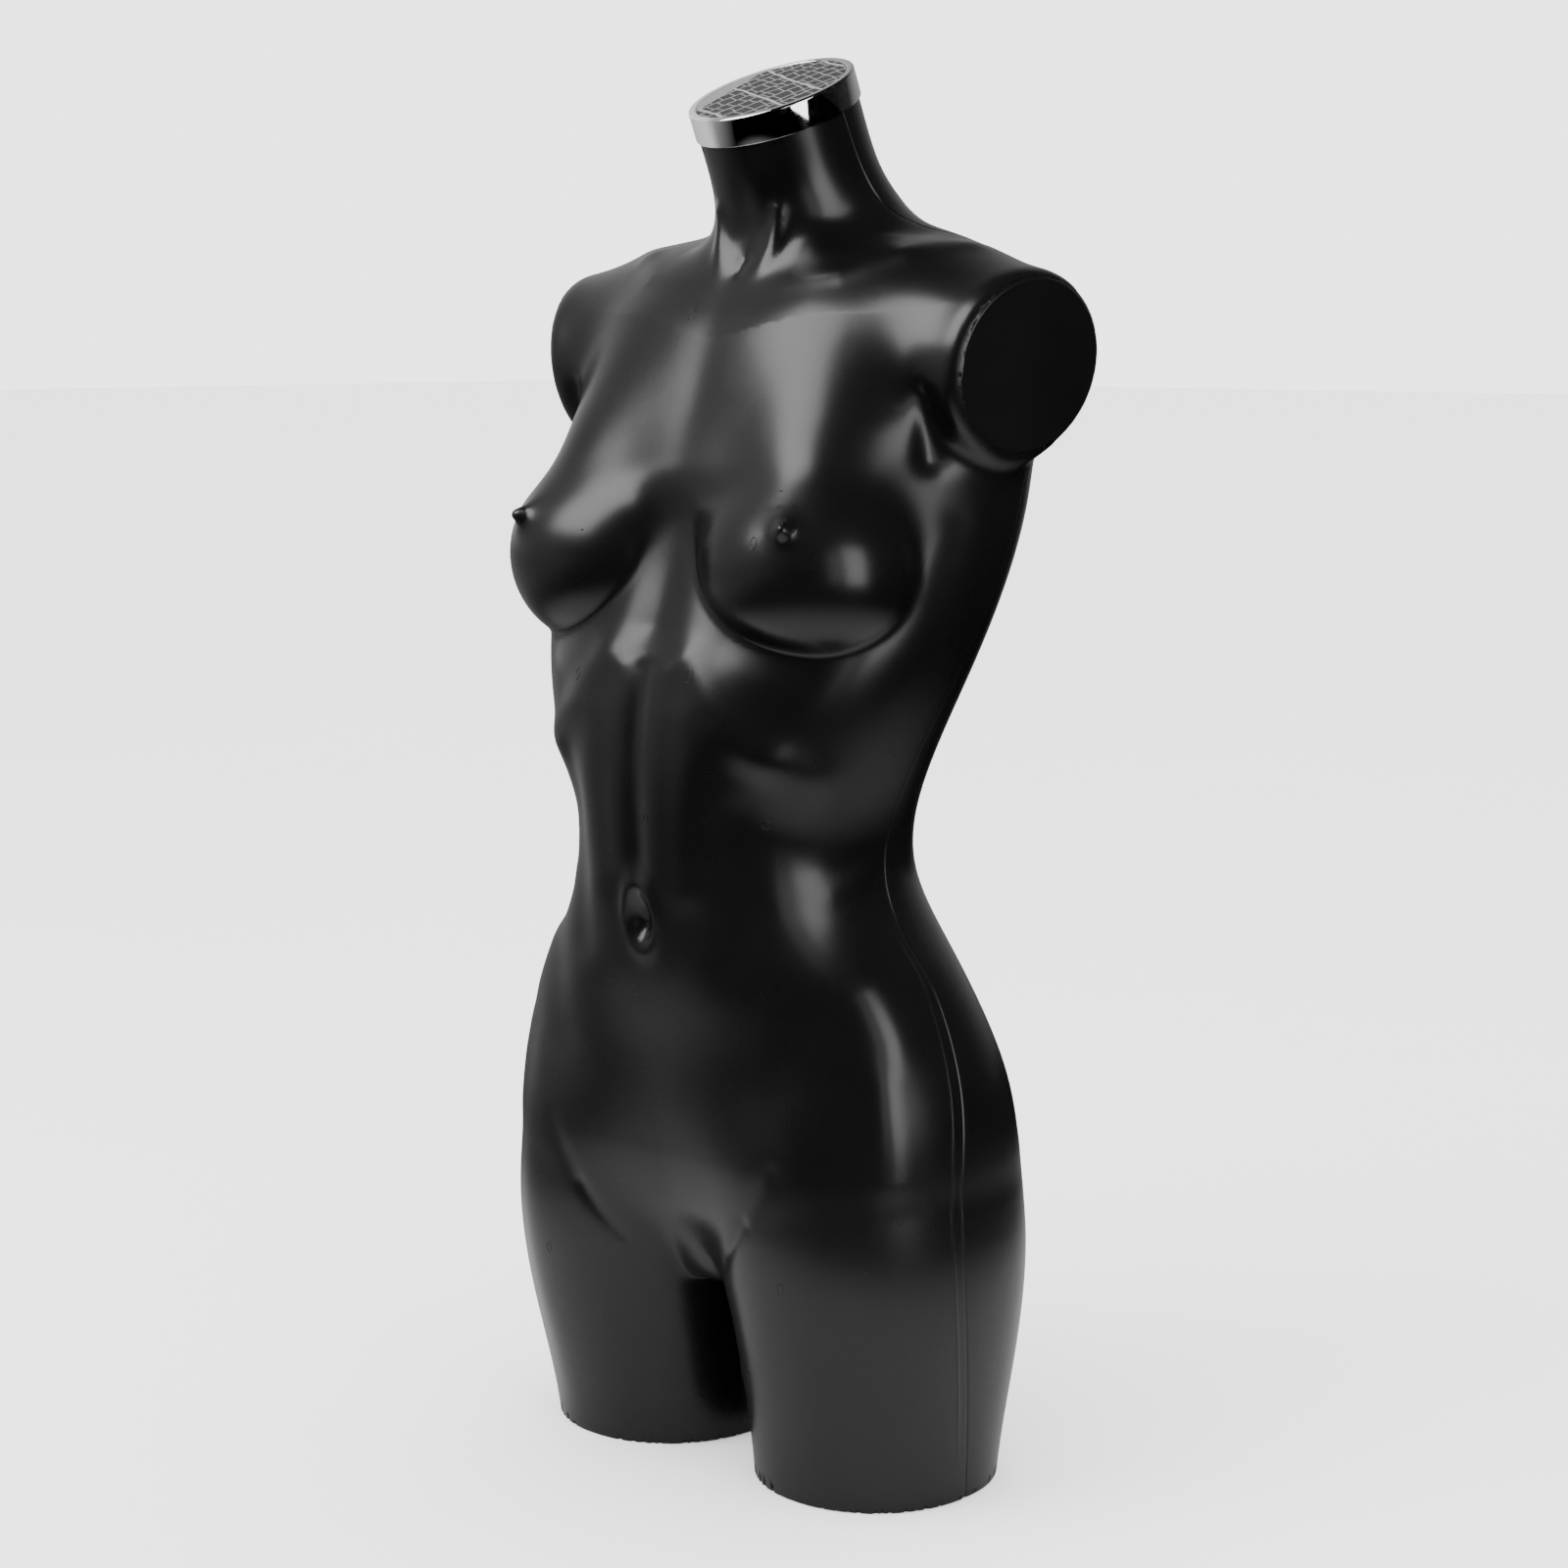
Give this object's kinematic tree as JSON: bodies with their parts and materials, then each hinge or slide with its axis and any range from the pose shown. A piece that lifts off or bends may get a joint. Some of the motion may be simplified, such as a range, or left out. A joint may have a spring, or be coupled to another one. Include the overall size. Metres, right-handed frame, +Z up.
{
  "type": "display torso",
  "caption": "Headless female shop display torso cut at the thighs, moulded front and back shells, chrome neck cap that lifts off, pole socket.",
  "frame": {"origin": "underside of the thighs (z = 0), at the middle of the bounding box's footprint in X and Y", "axes": "+Z up; the figure's front faces -Y; the figure's left is +X"},
  "size_m": [0.3864, 0.2501, 0.8811],
  "materials": {
    "body": "gloss black, light orange peel",
    "plates": "satin black",
    "inner": "matt black",
    "cap": "mirror chrome",
    "inlay": "dark grey with a fine crackle of light lines",
    "steel": "zinc-plated",
    "shoe": "turned"
  },
  "bodies": {
    "torso": {"front_shell": "body", "back_shell": "body", "seam_band_left": "inner", "seam_band_right": "inner", "arm_plate_left": "plates", "arm_plate_right": "plates", "thigh_plate_left": "inner", "thigh_plate_right": "inner", "neck_plug": "inner", "stand_socket": "steel", "socket_screw_1": "steel", "socket_screw_2": "steel", "socket_screw_3": "steel", "socket_bulkhead": "inner", "clamp_block": "steel"},
    "cap": {"neck_cap": "cap", "cap_inlay": "inlay", "cap_spigot": "inner", "cap_screw": "steel"},
    "shoe": {"clamp_shoe": "shoe"},
    "screw": {"clamp_screw": "steel"}
  },
  "joints": [
    {"name": "cap_lift", "type": "slide", "parent": "torso", "child": "cap", "axis": [0, -0.4067, 0.9135], "range_m": [0, 0.04]},
    {"name": "clamp_travel", "type": "slide", "parent": "torso", "child": "shoe", "axis": [0, 1, 0], "range_m": [-0.0038, 0]},
    {"name": "clamp_turn", "type": "hinge", "parent": "shoe", "child": "screw", "pos_m": [-0.088, 0.047, 0.058], "axis": [0, 1, 0], "range_deg": [-1080, 0]}
  ],
  "couplings": [
    {"joint": "clamp_travel", "follows": "clamp_turn", "m_per_rad": 0.00019894}
  ]
}
